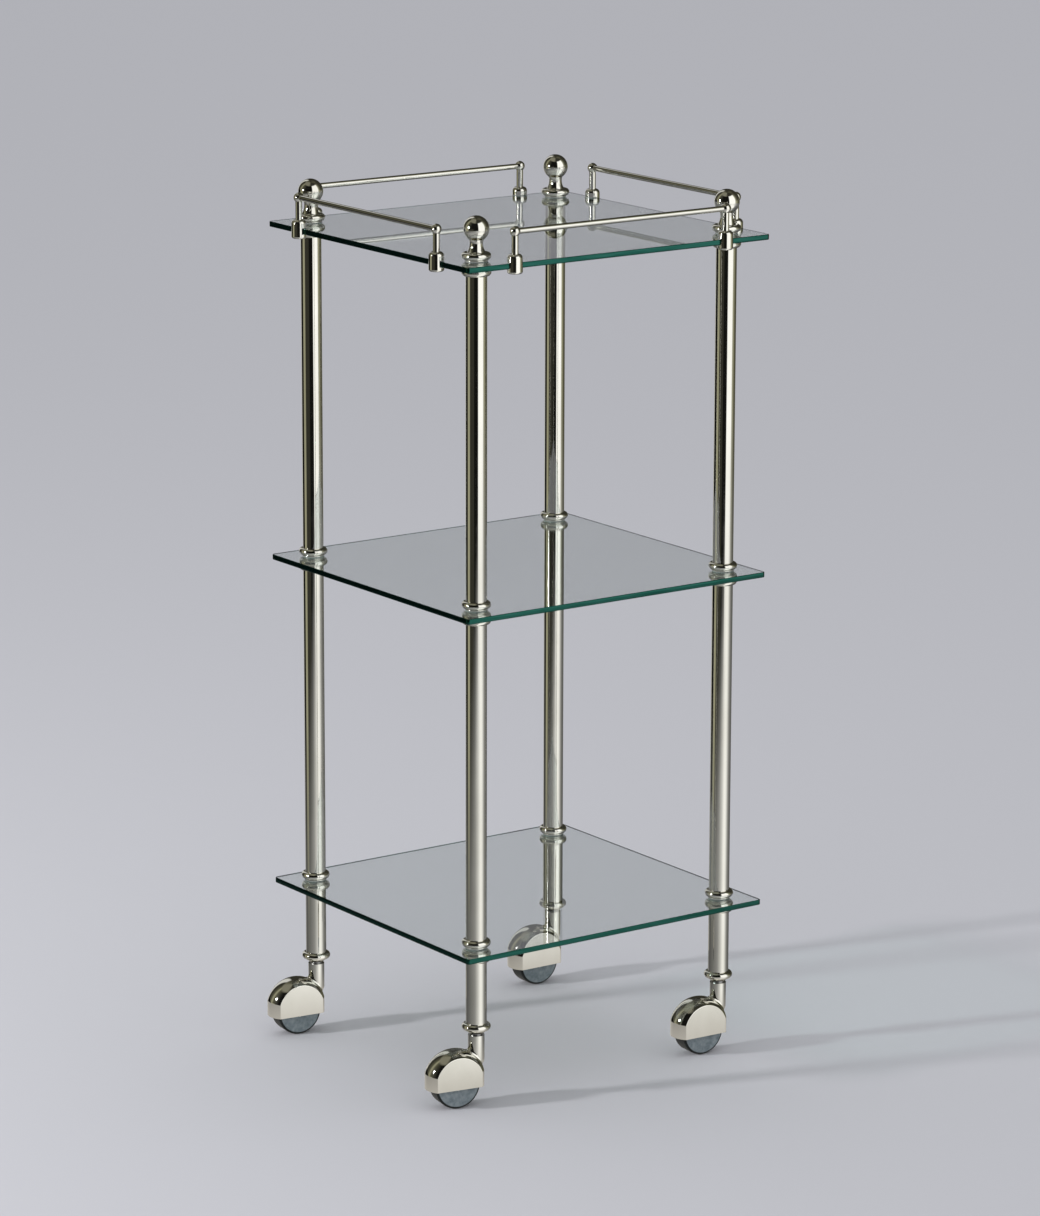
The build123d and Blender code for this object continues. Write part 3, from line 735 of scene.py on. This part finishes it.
# Turned sizes, in metres
FOOT_RADIUS = 0.0103
FOOT_HEIGHT = 0.0009
BEAD_RADIUS = 0.0033
BEAD_CENTRE_RADIUS = 0.00985
COLLAR_HEIGHT = FOOT_HEIGHT + 2 * BEAD_RADIUS
COLLAR_BORE = 0.0032
SPIGOT_RADIUS = 0.00825
SPIGOT_LENGTH = 0.005
EASING = 0.00022
WASHER_RADIUS = 0.0100
THREAD_RADIUS = 0.00303
FINIAL_HOLE_DEPTH = 0.011
BALL_RADIUS = 0.0115
NECK_LENGTH = 0.0109
NECK_RADIUS = 0.0060
NECK_TOP_RADIUS = 0.0065
NECK_WAIST_DOWN = 0.0045
NECK_FLARE_INSET = 0.00155
FERRULE_BOTTOM = 0.0673
FERRULE_TAPER = 0.0022
FERRULE_TIP_RADIUS = 0.0075
FERRULE_TOP = 0.1163
SOCKET_RADIUS = 0.00553
SOCKET_LENGTH = 0.036
THREAD_DEPTH = 0.010

# Straight steps that a round stretch of an outline is drawn with
COLLAR_BEAD_STEPS = 20
BEAD_STEPS = 24
NECK_STEPS = 16
BALL_STEPS = 40


def bead(bottom, steps=BEAD_STEPS):
    """Half-round bead that starts at a height."""
    return arc_points((BEAD_CENTRE_RADIUS, bottom + BEAD_RADIUS), BEAD_RADIUS, -90, 90, steps)


def collar_outline():
    """Foot, half-round bead and the short spigot that the tube hides."""
    spigot_top = COLLAR_HEIGHT + SPIGOT_LENGTH
    points = [(COLLAR_BORE, 0, 0), (FOOT_RADIUS, 0, EASING), (FOOT_RADIUS, FOOT_HEIGHT, EASING)]
    points += bead(FOOT_HEIGHT, COLLAR_BEAD_STEPS)
    points += [(SPIGOT_RADIUS, COLLAR_HEIGHT, 0), (SPIGOT_RADIUS, spigot_top, EASING)]
    points += [(COLLAR_BORE, spigot_top, 0)]
    return eased(points, True)


def make_collars():
    """Beaded collars above and below the panes, none above the top one."""
    for shelf, top in SHELF_TOPS.items():
        below = top - GLASS_THICKNESS - WASHER_THICKNESS
        places = [(x, y, below, True) for x, y in POSTS]
        if shelf != "top":
            places += [(x, y, top + WASHER_THICKNESS, False) for x, y in POSTS]
        piece = turned_set(shelf + "_collar_set", collar_outline(), True, places, turned_nickel)
        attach(piece, "frame")
        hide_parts(shelf + "_shelf_collars")


def washer_outline():
    """Thin washer between metal and glass."""
    underside = [(PANE_HOLE, 0), (WASHER_RADIUS, 0)]
    return underside + [(WASHER_RADIUS, WASHER_THICKNESS), (PANE_HOLE, WASHER_THICKNESS)]


def make_washers():
    """Washers above and below every pane."""
    heights = [z for top in SHELF_TOPS.values() for z in (top, top - GLASS_THICKNESS - WASHER_THICKNESS)]
    places = [(x, y, z, False) for z in heights for x, y in POSTS]
    piece = turned_set("washer_set", washer_outline(), True, places, washer_plastic, WASHER_SEGMENTS)
    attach(piece, "frame")
    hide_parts("shelf_washers")


def finial_outline():
    """Foot, bead, waisted neck and ball, with the threaded hole below."""
    neck_top = COLLAR_HEIGHT + NECK_LENGTH
    flare = (BEAD_CENTRE_RADIUS - NECK_FLARE_INSET, COLLAR_HEIGHT)
    waist = (NECK_RADIUS, neck_top - NECK_WAIST_DOWN)
    ball_centre = neck_top + sqrt(BALL_RADIUS ** 2 - NECK_TOP_RADIUS ** 2)
    ball_start = -90 + degrees(asin(NECK_TOP_RADIUS / BALL_RADIUS))
    points = [(0, FINIAL_HOLE_DEPTH, 0), (THREAD_RADIUS, FINIAL_HOLE_DEPTH, 0), (THREAD_RADIUS, 0, 0)]
    points += [(FOOT_RADIUS, 0, EASING), (FOOT_RADIUS, FOOT_HEIGHT, EASING)]
    points += bead(FOOT_HEIGHT)
    points += through_arc(flare, waist, (NECK_TOP_RADIUS, neck_top), NECK_STEPS)
    points += arc_points((0, ball_centre), BALL_RADIUS, ball_start, 90, BALL_STEPS)[1:-1]
    points += [(0, ball_centre + BALL_RADIUS, 0)]
    return eased(points, False)


def make_finials():
    """Ball finials on the four posts."""
    for corner, (x, y) in zip(CORNERS, POSTS):
        place = (x, y, SHELF_TOPS["top"] + WASHER_THICKNESS, False)
        piece = turned_set("ball_finial_" + corner, finial_outline(), False, [place], turned_nickel,
                           FINIAL_SEGMENTS)
        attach(piece, "frame")
        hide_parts("finial_" + corner)


def ferrule_outline():
    """Tapered tip, bead and the long plug inside the tube, bored for the caster."""
    bead_bottom = FERRULE_BOTTOM + FERRULE_TAPER
    shoulder = bead_bottom + 2 * BEAD_RADIUS
    socket_top = FERRULE_BOTTOM + SOCKET_LENGTH
    thread_bottom = FERRULE_TOP - THREAD_DEPTH
    points = [(0, socket_top, 0), (SOCKET_RADIUS, socket_top, 0)]
    points += [(SOCKET_RADIUS, FERRULE_BOTTOM, 0), (FERRULE_TIP_RADIUS, FERRULE_BOTTOM, EASING)]
    points += bead(bead_bottom)
    points += [(SPIGOT_RADIUS, shoulder, 0), (SPIGOT_RADIUS, FERRULE_TOP, EASING)]
    points += [(THREAD_RADIUS, FERRULE_TOP, 0), (THREAD_RADIUS, thread_bottom, 0), (0, thread_bottom, 0)]
    return eased(points, False)


def make_ferrules():
    """Beaded ferrules at the foot of the posts."""
    for corner, (x, y) in zip(CORNERS, POSTS):
        place = (x, y, 0, False)
        piece = turned_set("beaded_ferrule_" + corner, ferrule_outline(), False, [place], turned_nickel)
        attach(piece, "frame")
        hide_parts("ferrule_" + corner)


# Panes, filled and edged by Geometry Nodes, in metres
PANE_X = 0.330
PANE_Y = 0.320
PANE_CORNER = 0.003
PANE_ARRIS = 0.0004
ARRIS_ROUND = 0.0006
CORNER_STEPS = 12
HOLE_SEGMENTS = 40


def pane_tree():
    """Rounded pane with a hole round every point and an edge swept from a section."""
    tree = bpy.data.node_groups.new("drilled_pane", "GeometryNodeTree")
    new_sockets(tree, Edge_Section="Object", Length_X="Float", Length_Y="Float", Corner_Radius="Float",
                Thickness="Float", Hole_Radius="Float", Height="Float", Glass="Material", Edge="Material")
    node = tree.nodes.new
    wire = tree.links.new
    given = node("NodeGroupInput").outputs
    result = node("NodeGroupOutput")

    def scaled(value, factor):
        """A number times a factor."""
        product = node("ShaderNodeMath")
        product.operation = "MULTIPLY"
        product.inputs[1].default_value = factor
        wire(value, product.inputs[0])
        return product.outputs["Value"]

    def raised(mesh, rise):
        """Mesh moved up."""
        upwards = node("ShaderNodeCombineXYZ")
        move = node("GeometryNodeTransform")
        wire(rise, upwards.inputs["Z"])
        wire(mesh, move.inputs["Geometry"])
        wire(upwards.outputs["Vector"], move.inputs["Translation"])
        return move.outputs["Geometry"]

    rectangle = node("GeometryNodeCurvePrimitiveQuadrilateral")
    wire(given["Length X"], rectangle.inputs["Width"])
    wire(given["Length Y"], rectangle.inputs["Height"])
    rounded = node("GeometryNodeFilletCurve")
    rounded.mode = "POLY"
    rounded.inputs["Count"].default_value = CORNER_STEPS
    wire(rectangle.outputs["Curve"], rounded.inputs["Curve"])
    wire(given["Corner Radius"], rounded.inputs["Radius"])
    band = swept(tree, rounded.outputs["Curve"], drawn_line(tree, given["Edge Section"]))

    circle = node("GeometryNodeCurvePrimitiveCircle")
    circle.inputs["Resolution"].default_value = HOLE_SEGMENTS
    wire(given["Hole Radius"], circle.inputs["Radius"])
    holes = copied(tree, given["Geometry"], circle.outputs["Curve"])
    depth = node("ShaderNodeCombineXYZ")
    wire(given["Thickness"], depth.inputs["Y"])
    wall_line = node("GeometryNodeCurvePrimitiveLine")
    wire(depth.outputs["Vector"], wall_line.inputs["End"])
    walls = swept(tree, holes, wall_line.outputs["Curve"])

    neighbours = node("GeometryNodeInputMeshEdgeNeighbors")
    rim = node("FunctionNodeCompare")
    rim.data_type = "INT"
    rim.operation = "EQUAL"
    face_count, one = (socket for socket in rim.inputs if socket.type == "INT")
    one.default_value = 1
    wire(neighbours.outputs["Face Count"], face_count)
    position = node("GeometryNodeInputPosition")
    height = node("ShaderNodeSeparateXYZ")
    wire(position.outputs["Position"], height.inputs["Vector"])
    middle = scaled(given["Thickness"], -0.5)

    def sheet(operation):
        """Flat face with its holes, filled inside the band's upper or lower rim."""
        side = node("ShaderNodeMath")
        side.operation = operation
        wire(height.outputs["Z"], side.inputs[0])
        wire(middle, side.inputs[1])
        chosen = node("FunctionNodeBooleanMath")
        chosen.operation = "AND"
        wire(rim.outputs["Result"], chosen.inputs[0])
        wire(side.outputs["Value"], chosen.inputs[1])
        loop = node("GeometryNodeMeshToCurve")
        wire(band, loop.inputs["Mesh"])
        wire(chosen.outputs["Boolean"], loop.inputs["Selection"])
        outline = node("GeometryNodeJoinGeometry")
        wire(loop.outputs["Curve"], outline.inputs["Geometry"])
        wire(holes, outline.inputs["Geometry"])
        fill = node("GeometryNodeFillCurve")
        wire(outline.outputs["Geometry"], fill.inputs["Curve"])
        return fill.outputs["Mesh"]

    underside = raised(sheet("LESS_THAN"), scaled(given["Thickness"], -1.0))
    joined = node("GeometryNodeJoinGeometry")
    for mesh in (sheet("GREATER_THAN"), underside, walls):
        wire(painted(tree, mesh, given["Glass"], False), joined.inputs["Geometry"])
    wire(painted(tree, band, given["Edge"], True), joined.inputs["Geometry"])
    pane = raised(welded(tree, joined.outputs["Geometry"]), given["Height"])
    wire(pane, result.inputs["Geometry"])
    return tree


def edge_section():
    """Section of a pane's edge as (out, down) points: an eased arris, the flat, an eased arris."""
    lower_arris = GLASS_THICKNESS - PANE_ARRIS
    corners = [(-PANE_ARRIS, 0, 0), (0, PANE_ARRIS, ARRIS_ROUND), (0, lower_arris, ARRIS_ROUND),
               (-PANE_ARRIS, GLASS_THICKNESS, 0)]
    return eased(corners, False)


def make_panes():
    """The three panes, with their green edges."""
    tree = pane_tree()
    line = edge_section()
    section_mesh = bpy.data.meshes.new("pane_edge_section")
    line_edges = [(i, i + 1) for i in range(len(line) - 1)]
    section_mesh.from_pydata([(out, down, 0) for out, down in line], line_edges, [])
    section = link("pane_edge_section", section_mesh)
    for shelf, top in SHELF_TOPS.items():
        points = bpy.data.meshes.new(shelf + "_holes")
        points.from_pydata([(x, y, 0) for x, y in POSTS], [], [])
        piece = grown(shelf + "_pane", points, tree, Edge_Section=section, Length_X=PANE_X, Length_Y=PANE_Y,
                      Corner_Radius=PANE_CORNER, Thickness=GLASS_THICKNESS, Hole_Radius=PANE_HOLE, Height=top,
                      Glass=shelf_glass, Edge=edge_glass)
        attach(piece, "frame")
        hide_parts(shelf + "_shelf")
    bpy.data.objects.remove(section)


set_camera()
set_floor()
set_studio()
set_key_lamp()
dress_cad_nodes()
make_collars()
make_washers()
make_finials()
make_ferrules()
make_panes()
